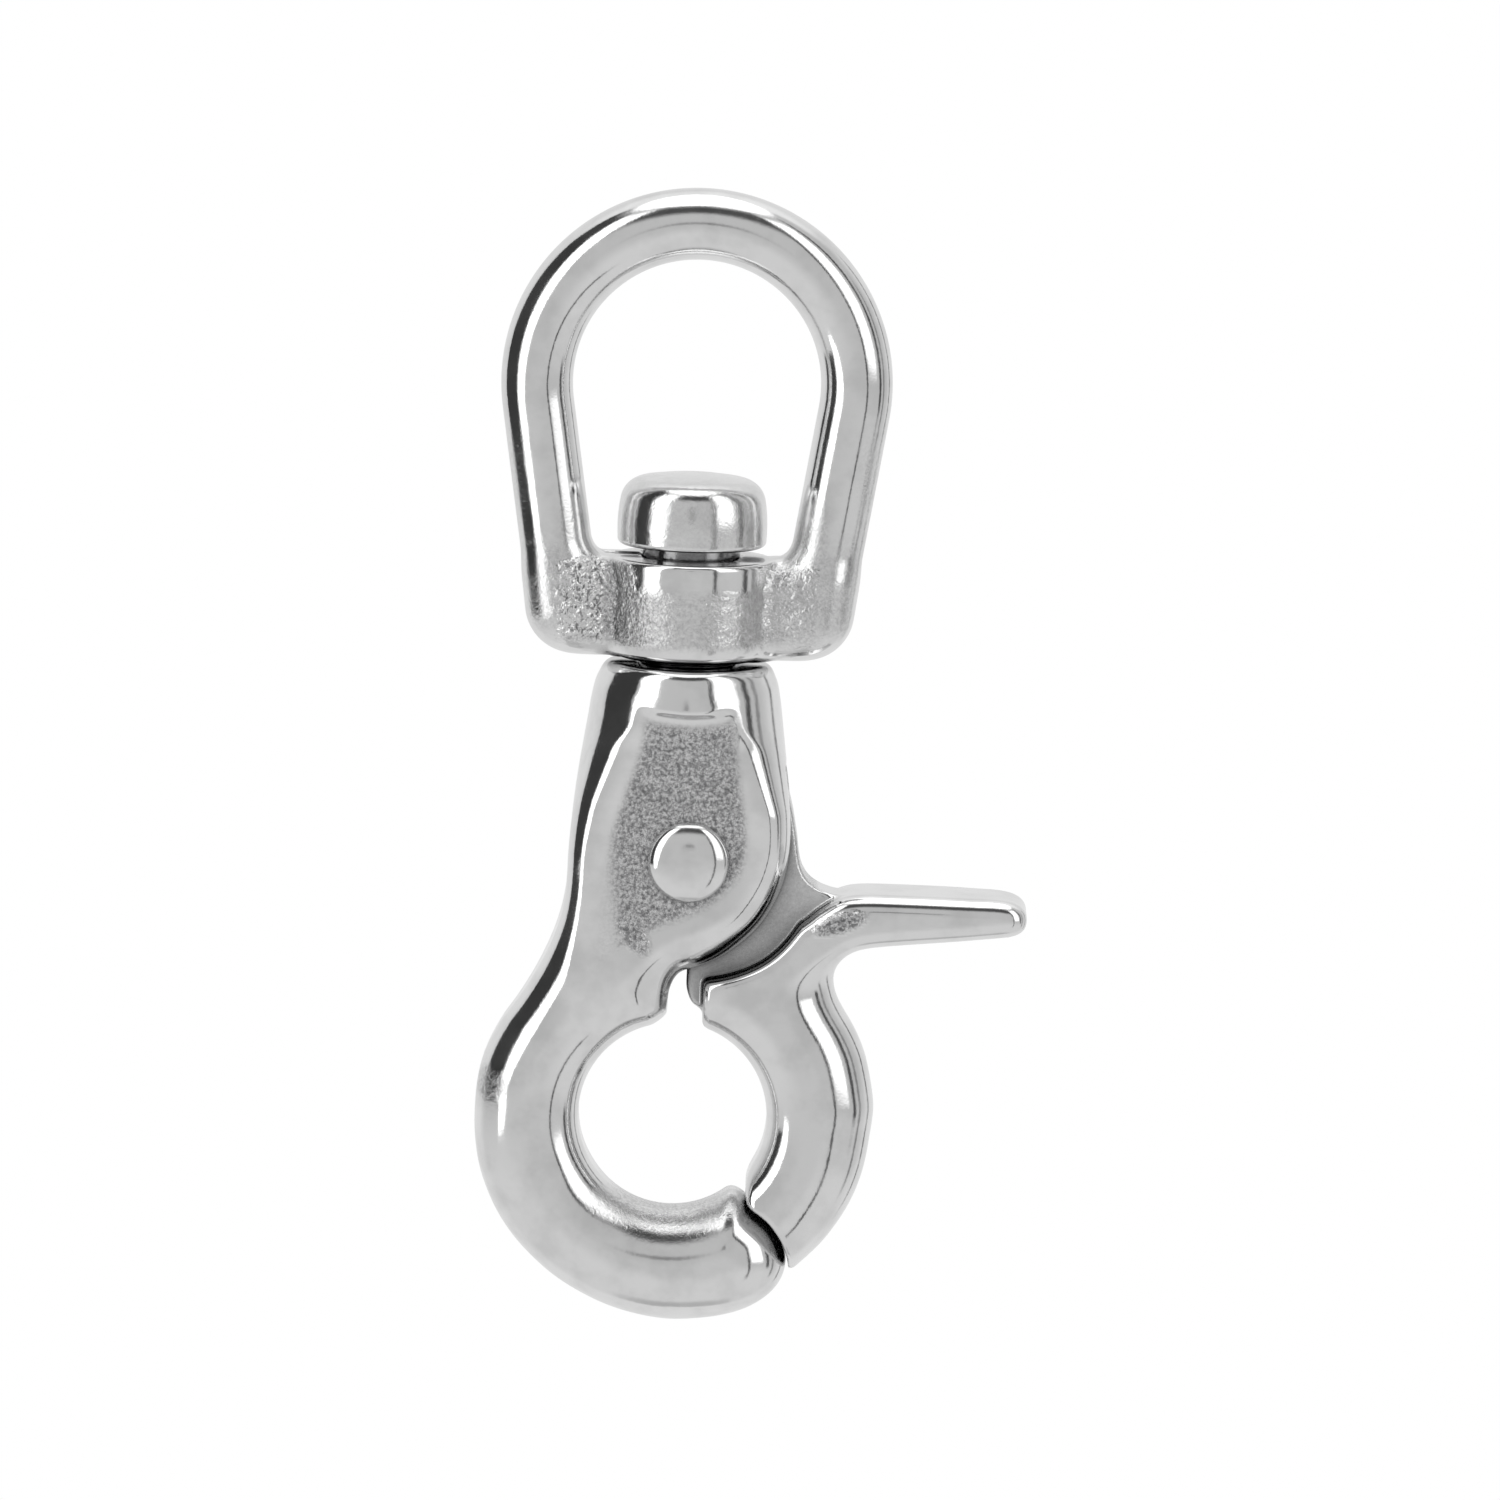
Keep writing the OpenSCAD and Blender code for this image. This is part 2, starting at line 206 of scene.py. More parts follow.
def sample(field, low, high, cell):
    """Field values on a grid; only blocks of cells near the surface are sampled finely."""
    block, batch = 6, 1200
    far = 5.0                              # stands for any value away from the surface
    near_factor, near_extra = 0.87 * 1.5, 0.25     # half a block's diagonal, with some to spare
    blocks = np.ceil((high - low) / (block * cell)).astype(int)
    centres = np.meshgrid(*[low[i] + (np.arange(blocks[i]) + 0.5) * block * cell
                            for i in range(3)], indexing="ij")
    coarse = field(*[axis.ravel() for axis in centres]).reshape(blocks)
    values = np.where(coarse < 0, -far, far)
    for axis in range(3):
        values = np.repeat(values, block, axis)
    values = np.pad(values, ((0, 1),) * 3, mode="edge")
    near = np.argwhere(np.abs(coarse) < block * cell * near_factor + near_extra)
    steps = np.arange(block + 1)
    offsets = [axis.ravel() for axis in np.meshgrid(steps, steps, steps, indexing="ij")]
    for first in range(0, len(near), batch):
        corner = near[first:first + batch] * block
        nodes = tuple(corner[:, i:i + 1] + offsets[i] for i in range(3))
        places = [(low[i] + nodes[i] * cell).ravel() for i in range(3)]
        values[nodes] = field(*places).reshape(nodes[0].shape)
    return values


def surface(field, low, high, cell):
    """Closed quad mesh where the field is 0, with the field's own normals."""
    low, high = np.array(low, float), np.array(high, float)
    values = sample(field, low, high, cell)
    inside = values < 0
    size = np.array(values.shape) - 1
    corners = list(product((0, 1), repeat=3))
    count = np.zeros(size, np.int8)
    for a, b, c in corners:
        count += inside[a:a + size[0], b:b + size[1], c:c + size[2]]
    cells = np.argwhere((count > 0) & (count < 8))
    index = np.full(size, -1, np.int64)
    index[tuple(cells.T)] = np.arange(len(cells))

    # one vertex per crossed cell, at the mean of the crossings on its edges
    at_corner = {corner: values[tuple((cells + corner).T)] for corner in corners}
    total, crossings = np.zeros((len(cells), 3)), np.zeros(len(cells))
    for corner in corners:
        for axis in range(3):
            if corner[axis]:
                continue
            start = at_corner[corner]
            end = at_corner[tuple(corner[i] + (i == axis) for i in range(3))]
            crossed = (start < 0) != (end < 0)
            point = np.repeat(np.array(corner, float)[None], len(cells), 0)
            point[:, axis] = start / np.where(crossed, start - end, 1)
            total += np.where(crossed[:, None], point, 0)
            crossings += crossed
    points = low + (cells + total / crossings[:, None]) * cell

    # one quad round every crossed grid edge
    quads = []
    for axis in range(3):
        second, third = (axis + 1) % 3, (axis + 2) % 3
        here = [slice(1, size[i]) for i in range(3)]
        here[axis] = slice(0, size[axis])
        ahead = list(here)
        ahead[axis] = slice(1, size[axis] + 1)
        start = inside[tuple(here)]
        edges = np.argwhere(start != inside[tuple(ahead)])
        outward = start[tuple(edges.T)]
        edges[:, [second, third]] += 1
        ring = []
        for back_second, back_third in ((1, 1), (0, 1), (0, 0), (1, 0)):
            around = edges.copy()
            around[:, second] -= back_second
            around[:, third] -= back_third
            ring.append(index[tuple(around.T)])
        quad = np.stack(ring, 1)
        quad[~outward] = quad[~outward][:, ::-1]
        quads.append(quad)

    # draw the vertices onto the surface
    for _ in range(3):
        slope = gradient(field, points, 0.03)
        move = slope * (field(*points.T) / np.maximum((slope ** 2).sum(1), 0.2))[:, None]
        length = np.sqrt((move ** 2).sum(1))
        points -= move * np.minimum(1, 0.6 * cell / np.maximum(length, 1e-9))[:, None]
    slope = gradient(field, points, 0.035)
    normals = slope / np.maximum(np.sqrt((slope ** 2).sum(1)), 1e-9)[:, None]
    return points, np.concatenate(quads).tolist(), normals


def link_object(name, mesh):
    obj = bpy.data.objects.new(name, mesh)
    bpy.context.collection.objects.link(obj)
    return obj


def make_object(name, points, faces, normals=None, masks=()):
    """Smooth object from millimetres; masks are the cast-grain and lump amounts per vertex, and
    on the trigger's tongue the grain also carries painted shade.
    """
    mesh = bpy.data.meshes.new(name)
    mesh.from_pydata((np.asarray(points) * 0.001).tolist(), [], faces)
    mesh.validate(verbose=False)
    mesh.update()
    mesh.polygons.foreach_set("use_smooth", np.ones(len(mesh.polygons), bool))
    if normals is not None:
        mesh.normals_split_custom_set_from_vertices(normals.tolist())
    for key, values in zip(("cast", "lump"), masks):
        attribute = mesh.attributes.new(key, "FLOAT", "POINT")
        attribute.data.foreach_set("value", np.asarray(values, np.float32))
    return link_object(name, mesh)


def make_casting(name, field, low, high, masks):
    points, quads, normals = surface(field, low, high, CELL)
    return make_object(name, points, quads, normals, masks(points, normals))


def lathe(profile, place):
    """Profile is (radius, height) from pole to pole; place maps (radius, height, angle)."""
    n = TURN_SIDES
    points = [place(0, profile[0][1], 0)]
    for radius, height in profile[1:-1]:
        points += [place(radius, height, 2 * math.pi * k / n) for k in range(n)]
    points.append(place(0, profile[-1][1], 0))
    rings = len(profile) - 2
    last = 1 + (rings - 1) * n
    faces = []
    for k in range(n):
        faces.append([0, 1 + (k + 1) % n, 1 + k])
        faces.append([len(points) - 1, last + k, last + (k + 1) % n])
    for i in range(rings - 1):
        for k in range(n):
            a, b = 1 + i * n + k, 1 + i * n + (k + 1) % n
            faces.append([a, b, b + n, a + n])
    return points, faces


def arc(centre_x, centre_y, radius, start, end, count):
    angles = [math.radians(start + (end - start) * i / count) for i in range(count + 1)]
    return [(centre_x + radius * math.cos(a), centre_y + radius * math.sin(a)) for a in angles]


# ---------------------------------------------------------------- bail
RING_R, BAR_R = 9.8, 2.2
LEG_SLOPE = math.radians(8.9)
LEG_X, LEG_TOP = RING_R * math.cos(LEG_SLOPE), -RING_R * math.sin(LEG_SLOPE)
LEG_END = -14.0
BASE_HALF, BASE_ROUND = 2.25, 1.75
BOSS_R, BOSS_TOP, BOSS_END = 5.12, -10.72, -16.95
BAIL_BORE_R, BAIL_BORE_TOP = 3.08, -9.0

# (x, z) of the base's right side, from below upwards
BASE_SIDE = [(4, -16.9), (7, -16.85), (8.6, -16.2), (9.45, -14.9), (9.7, -13.2), (9.75, -11.6),
             (9, -10.85), (7.5, -10.7), (4, -10.7)]
base_outline = Outline([(0, -16.9)] + BASE_SIDE + [(0, -10.7)]
                       + [(-x, z) for x, z in reversed(BASE_SIDE)], soft=0.2)


def bail_field(x, y, z):
    across = np.abs(x)
    # the ring's centre line: an arc and two sloping legs
    sine, cosine = math.sin(LEG_SLOPE), math.cos(LEG_SLOPE)
    to_arc = np.abs(np.sqrt(across ** 2 + z ** 2) - RING_R)
    t = np.clip((across - LEG_X) * -sine + (z - LEG_TOP) * -cosine,
                0, (LEG_TOP - LEG_END) / cosine)
    to_leg = np.sqrt((across - LEG_X + t * sine) ** 2 + (z - LEG_TOP + t * cosine) ** 2)
    to_line = np.where(z * cosine + across * sine < 0, to_leg, to_arc)
    ring = np.sqrt(to_line ** 2 + y ** 2) - BAR_R
    base = rounded(base_outline(x, z), y, BASE_HALF, BASE_ROUND)
    solid = soft_min(ring, base, 1.3)
    # boss, softly rounded at the foot and crisp at the top
    radius = np.sqrt(x ** 2 + y ** 2)
    boss = soft_max(soft_max(radius - BOSS_R, BOSS_END - z, 1.3), z - BOSS_TOP, 0.35)
    solid = soft_min(solid, boss, mix(0.3, 0.7, rise(-1.0, 3.0, turned(x, y))))
    return soft_max(solid, -np.maximum(radius - BAIL_BORE_R, z - BAIL_BORE_TOP), 0.2)


def bail_masks(points, normals):
    x, y, z = points.T
    across, facing = np.abs(x), np.abs(normals[:, 1])
    side = turned(x, y)
    left = fall(-2, 2, side)               # the rougher side, turned half round at the back
    front = rise(0.25, 0.65, facing)
    web = (rise(mix(4.2, 5.0, left), mix(4.9, 5.4, left), across) * fall(7.2, 8.8, across)
           * rise(-16.3, -15.2, z) * fall(-11.3, -10.5, z))
    boss = fall(4.9, 5.3, across) * rise(-16.4, -15.4, z) * fall(-13.2, -11.8, z)
    flank = (rise(3.1, 3.9, across) * fall(5.1, 5.5, across) * left * rise(-16.2, -15.0, z)
             * fall(-11.2, -10.7, z) * rise(0.1, 0.3, facing))
    leg = 0.3 * rise(6.0, 7.0, across) * fall(-13, -7, z) * rise(-16.0, -14.5, z)
    inner = (0.3 * rise(5.2, 6.4, across) * fall(8.0, 8.8, across) * fall(-9.0, -5.5, z)
             * rise(-12.5, -11, z) * mix(1.0, 0.4, left))
    outer = 0.2 * rise(9.5, 11.0, across) * fall(-6, 0, z)
    grain = np.maximum.reduce([
        front * web * mix(0.45, 0.3, left), front * boss * mix(0.35, 0.75, fall(-3.4, 0.4, side)),
        flank, front * leg, inner, outer])
    lump = np.maximum.reduce([front * web * mix(0.25, 0.75, left), front * boss * 0.1,
                              flank * 0.5])
    return grain, lump


# ---------------------------------------------------------------- hook body
NECK_TOP = -17.2
BODY_BORE_R, BODY_BORE_END = 2.52, -21.4
BODY_PIN_HOLE = 1.52
HUB_R = 4.9                                # room round the pin
SLOT_END = -44

# (x, z) from the neck down the left side, round the hook and up the right side
body_outline = Outline([
    (-5.15, -10.5), (-5.15, -14), (-5.2, -17.2), (-5.62, -18.4), (-5.86, -19.5), (-6.0, -20.5),
    (-6.22, -22.0), (-6.45, -23.6), (-6.65, -25.2), (-6.83, -27.0), (-6.95, -28.8),
    (-6.99, -30.4), (-7.1, -31.8), (-7.4, -33.3), (-7.95, -34.9), (-8.75, -36.6), (-9.75, -38.3),
    (-10.65, -39.6), (-11.35, -40.9), (-11.85, -42.2), (-12.15, -43.7), (-12.25, -45.3),
    (-12.2, -47.0), (-11.9, -48.8), (-11.35, -50.4), (-10.6, -51.9), (-9.6, -53.3),
    (-8.4, -54.55), (-7.0, -55.7), (-5.4, -56.65), (-3.7, -57.4), (-1.9, -57.9), (0.0, -58.15),
    (1.9, -58.05), (3.6, -57.75), (5.1, -57.2), (6.35, -56.3), (7.05, -55.25), (7.24, -54.1),
    (6.95, -52.95), (6.35, -52.0), (5.5, -51.25), (4.82, -50.5), (4.4, -49.75), (4.05, -48.9),
    (3.5, -47.8), (2.7, -46.0), (1.9, -43.6), (0.2, -41.4), (-0.5, -40.3), (-0.58, -39.2),
    (-0.52, -38.2), (-0.4, -37.3), (-0.15, -36.65), (0.3, -36.2), (1.2, -35.9), (2.55, -35.3),
    (3.75, -34.45), (4.85, -33.35), (5.7, -32.0), (6.3, -30.5), (6.58, -29.0), (6.66, -27.6),
    (6.6, -26.2), (6.45, -24.9), (6.28, -23.5), (6.1, -22.0), (5.92, -20.5), (5.78, -19.5),
    (5.58, -18.4), (5.2, -17.2), (5.15, -14), (5.15, -10.5)], soft=0.18)

# (z, half depth in Y)
body_half = Curve([
    (-62, 3.5), (-44, 3.5), (-40, 3.65), (-36.5, 4.15), (-33, 4.6), (-29, 4.85), (-26, 5.05),
    (-23.5, 5.35), (-21.8, 5.66), (-20.6, 5.82), (-19.6, 5.8), (-18.4, 5.6), (-17.2, 5.2),
    (-10, 5.15)], soft=0.4)

# (z, edge radius) of the round neck, and of the left and right sides
NECK_ROUND = [(-20.8, 5.85), (-19.6, 5.82), (-18.4, 5.6), (-17.2, 5.2), (-10, 5.15)]
left_round = Curve([(-62, 3.2), (-40, 3.2), (-36, 2.9), (-32, 2.3), (-28, 2.3), (-25.5, 2.9),
                    (-23, 4.4)] + NECK_ROUND, soft=0.4)
right_round = Curve([(-62, 3.2), (-49.5, 3.2), (-45, 2.2), (-40, 2.0), (-36.5, 2.6),
                     (-34.5, 3.1), (-31, 3.0), (-28.5, 2.5), (-26, 2.5),
                     (-23.3, 4.2)] + NECK_ROUND, soft=0.4)

# (x, z) of the pocket sunk in each cheek
recess_outline = Outline([
    (-3.05, -19.5), (-1.6, -19.75), (0, -19.9), (1.6, -19.8), (3.4, -19.5), (3.8, -21.4),
    (4.25, -24.5), (4.6, -26.6), (4.65, -28.4), (4.2, -30.2), (3.0, -31.7), (1.2, -32.9),
    (-1.2, -34.0), (-3.2, -35.3), (-5.2, -36.8), (-6.6, -36.2), (-6.4, -34.4), (-6.0, -32.5),
    (-5.7, -30.5), (-5.3, -28.5), (-4.75, -26.5), (-4.0, -24), (-3.3, -21.5)], soft=0.14)
# (z, distance of the pocket's floor from the middle plane)
floor_level = Curve([
    (-62, 4.9), (-38, 4.8), (-36.4, 4.6), (-35.2, 4.36), (-34, 4.26), (-31, 4.32), (-28, 4.42),
    (-25, 4.56), (-22.6, 4.76), (-20.6, 4.98), (-19, 5.08)], soft=0.5)


def recess_floor(x, z):
    """Level of the pocket's floor, shallower towards the left."""
    return floor_level(z) + 0.55 * fall(-7.2, -2.4, x) * rise(24.5, 29.0, -z)


def slot_shape(x, z):
    """Flat shape of the slot: negative inside."""
    radius = from_pin(x, z)
    low = np.maximum(np.maximum(-0.5 - x, z - PIN_Z), SLOT_END - z)
    side = np.maximum(0.3 - x, z - PIN_Z - 5.6)
    # room for the tongue's swing: reach from the pin by angle in degrees
    angle = np.degrees(np.arctan2(z - PIN_Z, x - PIN_X))
    reach = np.interp(angle, [76, 86, 100, 120], [7.6, 6.9, 5.75, HUB_R])
    swing = np.maximum(radius - reach, PIN_Z - z)
    slot = soft_min(soft_min(radius - HUB_R, low, 0.3), np.minimum(side, swing), 0.3)
    return np.maximum(slot, SLOT_END - z)


def body_field(x, y, z):
    outside, eye = body_outline(x, z), eye_hole(x, z)
    side_round = mix(left_round(z), right_round(z), rise(-3.2, 1.2, x))
    eye_round = mix(2.45, 3.3, fall(-52.0, -47.5, z))
    edge_round = mix(eye_round, side_round, rise(-1.6, 1.6, outside - eye))
    # softer corners where the eye opens, at its top and at the nose
    corner = (0.3 + 1.3 * peak(x, z, -0.6, -39.9, 2.0, 1.6)
              + 1.3 * peak(x, z, 4.4, -49.9, 2.4, 2.4))
    solid = rounded(soft_max(outside, eye, corner), y, body_half(z), edge_round)
    solid = soft_max(solid, z - NECK_TOP, 0.7)
    hollow = soft_max(recess_outline(x, z), recess_floor(x, z) - np.abs(y),
                      mix(0.7, 1.7, rise(0.0, 2.4, -20.6 - z)))
    solid = soft_max(solid, -hollow, mix(0.35, 1.5, rise(0.0, 2.4, -20.3 - z)))
    solid = soft_max(solid, -np.maximum(slot_shape(x, z), np.abs(y) - SLOT_HALF), 0.18)
    bore = np.maximum(np.sqrt(x ** 2 + y ** 2) - BODY_BORE_R, BODY_BORE_END - z)
    return np.maximum(np.maximum(solid, -bore), BODY_PIN_HOLE - from_pin(x, z))


def body_masks(points, normals):
    x, y, z = points.T
    facing = rise(0.6, 0.85, np.abs(normals[:, 1]))
    recess = (fall(-1.3, -0.3, recess_outline(x, z))
              * rise(0.0, 0.3, recess_floor(x, z) + 0.42 - np.abs(y)))
    fade = mix(0.12, 1.0, rise(-4.9, -3.3, x + 0.12 * (z + 30))) * rise(-5.6, -4.4, x)
    recess = recess * fade * facing
    # slanting oval at the pocket's lower end
    oval = fall(0.5, 1.1, np.sqrt((x + 2.9 + 0.55 * (z + 33.6)) ** 2
                                  + ((z + 33.7) / 1.5) ** 2)) * facing
    eye = (0.38 * fall(5.8, 9.0, np.sqrt(x ** 2 + (z - EYE_Z) ** 2)) * fall(-51.0, -49.0, z)
           * rise(0.1, 0.4, normals[:, 2]))
    left_spot = 0.35 * fall(0.6, 1.5, np.sqrt((x + 11.4) ** 2 + (z + 43.5) ** 2))
    return np.maximum.reduce([recess, oval, eye, left_spot]), 0.8 * oval


# ---------------------------------------------------------------- trigger
TRIGGER_PIN_HOLE = 1.56
SEAT_X, SEAT_Z, SEAT_R = 3.35, -54.25, 4.04
SEAT_TOP = -46

# (x, z) of the lever, pointing right, and the jaw that curves down round the eye
trigger_outline = Outline([
    (-3, -33.0), (1, -32.2), (4.5, -32.0), (6.8, -32.45), (7.75, -32.55), (8.5, -32.1),
    (9.3, -31.55), (10.2, -31.15), (11.3, -31.0), (13, -30.98), (15.5, -31.0), (18, -31.05),
    (19.6, -31.1), (20.6, -31.3), (21.2, -31.75), (21.35, -32.4), (21.15, -33.0), (20.5, -33.35),
    (19.4, -33.5), (17, -33.75), (14.5, -34.0), (12.3, -34.25), (11.1, -34.5), (10.3, -34.95),
    (9.75, -35.7), (9.58, -36.6), (9.75, -37.5), (10.2, -38.4), (10.8, -39.35), (11.3, -40.3),
    (11.7, -41.3), (11.98, -42.4), (12.18, -43.4), (12.32, -44.4), (12.28, -45.3),
    (12.15, -46.3), (12.0, -47.4), (11.78, -48.5), (11.4, -49.7), (10.9, -50.8), (10.25, -51.9),
    (9.45, -53.0), (8.5, -54.0), (7.4, -55.0), (6.0, -56.0), (3.5, -56.2), (0.5, -53.5),
    (-1.8, -49), (-2.6, -44), (-3.2, -39)], soft=0.18)
# (x, z) of the thin tongue that runs in the body's slot
tongue_outline = Outline([
    (6.35, -24.9), (6.72, -26.1), (6.92, -27.1), (7.08, -28.0), (7.2, -28.9), (7.4, -29.7),
    (7.85, -30.4), (8.6, -30.9), (9.7, -31.3), (10.6, -32.0), (10.4, -33.6), (9.0, -35.5),
    (6.0, -37.6), (3.0, -38.6), (1.2, -38.4), (0.6, -37.4), (0.55, -36.2), (0.5, -34.9),
    (-0.4, -33.7), (-2.3, -32.8), (-3.7, -31.2), (-4.15, -29.0), (-3.6, -26.8), (-2.0, -25.0),
    (0.2, -24.35), (2.4, -24.0), (4.2, -23.6), (5.6, -23.8)], soft=0.12)
# (z, half depth in Y)
trigger_half = Curve([(-62, 3.5), (-42, 3.5), (-38.5, 3.42), (-35, 3.36), (-20, 3.3)], soft=0.7)


def spring_pocket(x, y, z):
    """Room for the coil and its lower leg, cut from the front of the tongue."""
    radius = from_pin(x, z)
    angle = np.degrees(np.arctan2(z - PIN_Z, x - PIN_X))
    sector = (np.abs(angle - 113) * math.pi / 180 * radius - 63 * math.pi / 180 * radius)
    pocket = np.minimum(radius - 2.35, np.maximum(radius - 6.6, sector))
    cosine, sine = math.cos(COIL_START), math.sin(COIL_START)
    along = (x - PIN_X) * sine - (z - PIN_Z) * cosine
    across = (x - PIN_X) * cosine + (z - PIN_Z) * sine - COIL_R
    groove = np.maximum(np.abs(across) - 0.45, np.maximum(along - 3.6, -along))
    return np.maximum(np.minimum(pocket, groove), y - 0.3)


def trigger_field(x, y, z):
    radius = from_pin(x, z)
    outside, eye = trigger_outline(x, z), eye_hole(x, z)
    half = trigger_half(z) - 0.35 * rise(15, 22.5, x)
    edge_round = mix(1.08, 3.3, fall(-38.0, -33.5, z))
    edge_round = mix(2.45, edge_round, rise(-1.6, 1.6, outside - eye))
    corner = 0.3 + 1.2 * peak(x, z, 1.0, -39.9, 2.6, 1.8)
    flat = soft_max(soft_max(outside, eye, corner), 0.5 - x, 0.9)
    solid = rounded(flat, y, half, np.minimum(edge_round, 1.1 + 2.2 * rise(0.3, 3.0, x)))
    # slit over the eye and shoulder round the cheeks
    solid = soft_max(solid, mix(7.45, 8.0, rise(-38.6, -34.6, z)) - radius, 0.75)
    # seat for the nose
    ball = np.sqrt((x - SEAT_X) ** 2 + (0.42 * y) ** 2 + (z - SEAT_Z) ** 2) - SEAT_R
    seat = soft_min(ball, x - 4.6, 0.6)
    seat = np.where(z < SEAT_TOP, seat, np.maximum(seat, SEAT_TOP - z) + 3.0)
    solid = soft_max(soft_max(solid, -seat, 0.45), -54.85 - z, 0.3)
    solid = soft_min(solid, rounded(tongue_outline(x, z), y, TONGUE_HALF, 0.3), 0.45)
    return np.maximum(np.maximum(solid, -spring_pocket(x, y, z)), TRIGGER_PIN_HOLE - radius)


def trigger_masks(points, normals):
    x, y, z = points.T
    # slanting oval where the lever meets the jaw
    oval = fall(0.55, 1.15, np.sqrt(((x - 9.9) / 1.8) ** 2
                                    + ((z + 32.75 - 0.32 * (x - 9.9)) / 0.66) ** 2))
    oval = oval * rise(0.6, 0.9, np.abs(normals[:, 1]))
    # sunk tongue: real cast grain, and its darkened hollows are also painted shade for the recess
    # between the cheeks
    tongue = 0.375 * fall(1.5, 1.9, np.abs(y)) * fall(7.8, 8.4, from_pin(x, z))
    return np.maximum(oval, tongue), oval


# ---------------------------------------------------------------- turned pieces and spring
def make_stud():
    """Swivel stud on the Z axis: domed head above, shank below."""
    profile = (
        [(0, -5.58), (1.0, -5.6), (2.0, -5.68)] + arc(2.92, -7.38, 1.55, 78, 10, 14)
        + [(4.51, -7.5), (4.575, -8.1), (4.6, -8.7), (4.59, -9.3)]
        + arc(4.22, -9.62, 0.36, 10, -80, 7)
        + [(4.0, -10.0), (3.4, -10.02), (3.04, -10.04), (3.0, -10.12), (3.0, -13), (3.0, -16.8),
           (3.0, -17.19), (2.5, -17.2), (2.5, -21.0), (2.2, -21.38), (0, -21.38)])
    points, faces = lathe(profile, lambda r, height, angle: (
        r * math.cos(angle), r * math.sin(angle), height))
    masks = (np.full(len(points), 0.09), np.full(len(points), 0.03))
    return make_object("swivel_stud_turned", points, faces, masks=masks)


def make_rivet():
    """Pivot rivet along Y, with a domed cap at each end."""
    cap_r, crown, rings = 2.52, 5.2, 28
    # radius, and the dome's slope there in degrees
    slopes = ((0, 0), (1.0, 6.5), (1.45, 13), (1.75, 20), (2.05, 29), (2.3, 43), (2.43, 56),
              (2.53, 72))
    ring = cap_r / rings
    cap, drop = [(0, crown)], 0.0
    for k in range(1, rings + 1):
        radius = cap_r * k / rings
        drop += ring * math.tan(math.radians(np.interp(radius - ring / 2, *zip(*slopes))))
        cap.append((radius, crown - drop))
    cap += [(2.55, min(cap[-1][1] - 0.1, 4.12)), (2.3, 4.05), (1.5, 4.06)]
    profile = cap + [(radius, -height) for radius, height in reversed(cap)]
    return make_object("pivot_rivet_turned", *lathe(profile, lambda r, height, angle: (
        PIN_X + r * math.cos(angle), -height, PIN_Z + r * math.sin(angle))))


def make_spring():
    """Coil about the pin with a straight leg at each end."""
    wire_r, pitch, first_y, sides = 0.25, 0.53, -1.35, 16
    start_leg, end_leg = 3.2, 4.35
    end_angle = math.radians(810)

    def at(angle, along=0):
        return (PIN_X + COIL_R * math.cos(angle) - along * math.sin(angle),
                first_y + pitch * (angle - COIL_START) / (2 * math.pi),
                PIN_Z + COIL_R * math.sin(angle) + along * math.cos(angle))
    path = np.array([at(COIL_START, s) for s in np.linspace(-start_leg, 0, 9)[:-1]]
                    + [at(angle) for angle in np.linspace(COIL_START, end_angle, 160)]
                    + [at(end_angle, s) for s in np.linspace(0, end_leg, 11)[1:]])
    tangent = np.gradient(path, axis=0)
    tangent /= np.linalg.norm(tangent, axis=1)[:, None]
    side = np.cross(tangent, (0, 1, 0))
    side /= np.linalg.norm(side, axis=1)[:, None]
    up = np.cross(side, tangent)
    turns = [2 * math.pi * j / sides for j in range(sides)]
    points = [path[i] + wire_r * (math.cos(turn) * side[i] + math.sin(turn) * up[i])
              for i in range(len(path)) for turn in turns]
    faces = []
    for i in range(len(path) - 1):
        for j in range(sides):
            a, b = i * sides + j, i * sides + (j + 1) % sides
            faces.append([a, a + sides, b + sides, b])
    faces.append(list(range(sides)))
    faces.append([(len(path) - 1) * sides + j for j in reversed(range(sides))])
    return make_object("torsion_spring_wire", points, faces)


bail = make_casting("bail_casting", bail_field, (-12.7, -6.0, -17.8), (12.7, 6.0, 12.7),
                    bail_masks)
body = make_casting("hook_casting", body_field, (-12.9, -6.7, -58.9), (7.9, 6.7, -16.6),
                    body_masks)
trigger = make_casting("trigger_casting", trigger_field, (-4.9, -4.2, -56.0),
                       (22.0, 4.2, -22.8), trigger_masks)
stud = make_stud()
rivet = make_rivet()
spring = make_spring()


# ---------------------------------------------------------------- materials
class Graph:
    """Adds nodes to the emptied node tree of a material or world."""
    def __init__(self, owner):
        owner.use_nodes = True
        self.tree = owner.node_tree
        self.tree.nodes.clear()

    def node(self, kind, inputs=None, **settings):
        node = self.tree.nodes.new("ShaderNode" + kind)
        for key, value in settings.items():
            setattr(node, key, value)
        for key, value in (inputs or {}).items():
            if isinstance(value, bpy.types.NodeSocket):
                self.tree.links.new(value, node.inputs[key])
            else:
                node.inputs[key].default_value = value
        return node

    def math(self, operation, *values):
        return self.node("Math", dict(enumerate(values)), operation=operation).outputs[0]

    def add(self, a, b):
        return self.math("ADD", a, b)

    def times(self, a, b):
        return self.math("MULTIPLY", a, b)

    def ramp(self, value, at, to=(0.0, 1.0)):
        """Smooth step between the two values of to, over the span at."""
        return self.node("MapRange", {
            "From Min": at[0], "From Max": at[1], "To Min": to[0], "To Max": to[1],
            "Value": value}, interpolation_type="SMOOTHSTEP").outputs["Result"]

    def tint(self, factor, a, b, blend="MULTIPLY"):
        return self.node("Mix", {"Factor": factor, "A": a, "B": b}, data_type="RGBA",
                         blend_type=blend).outputs["Result"]


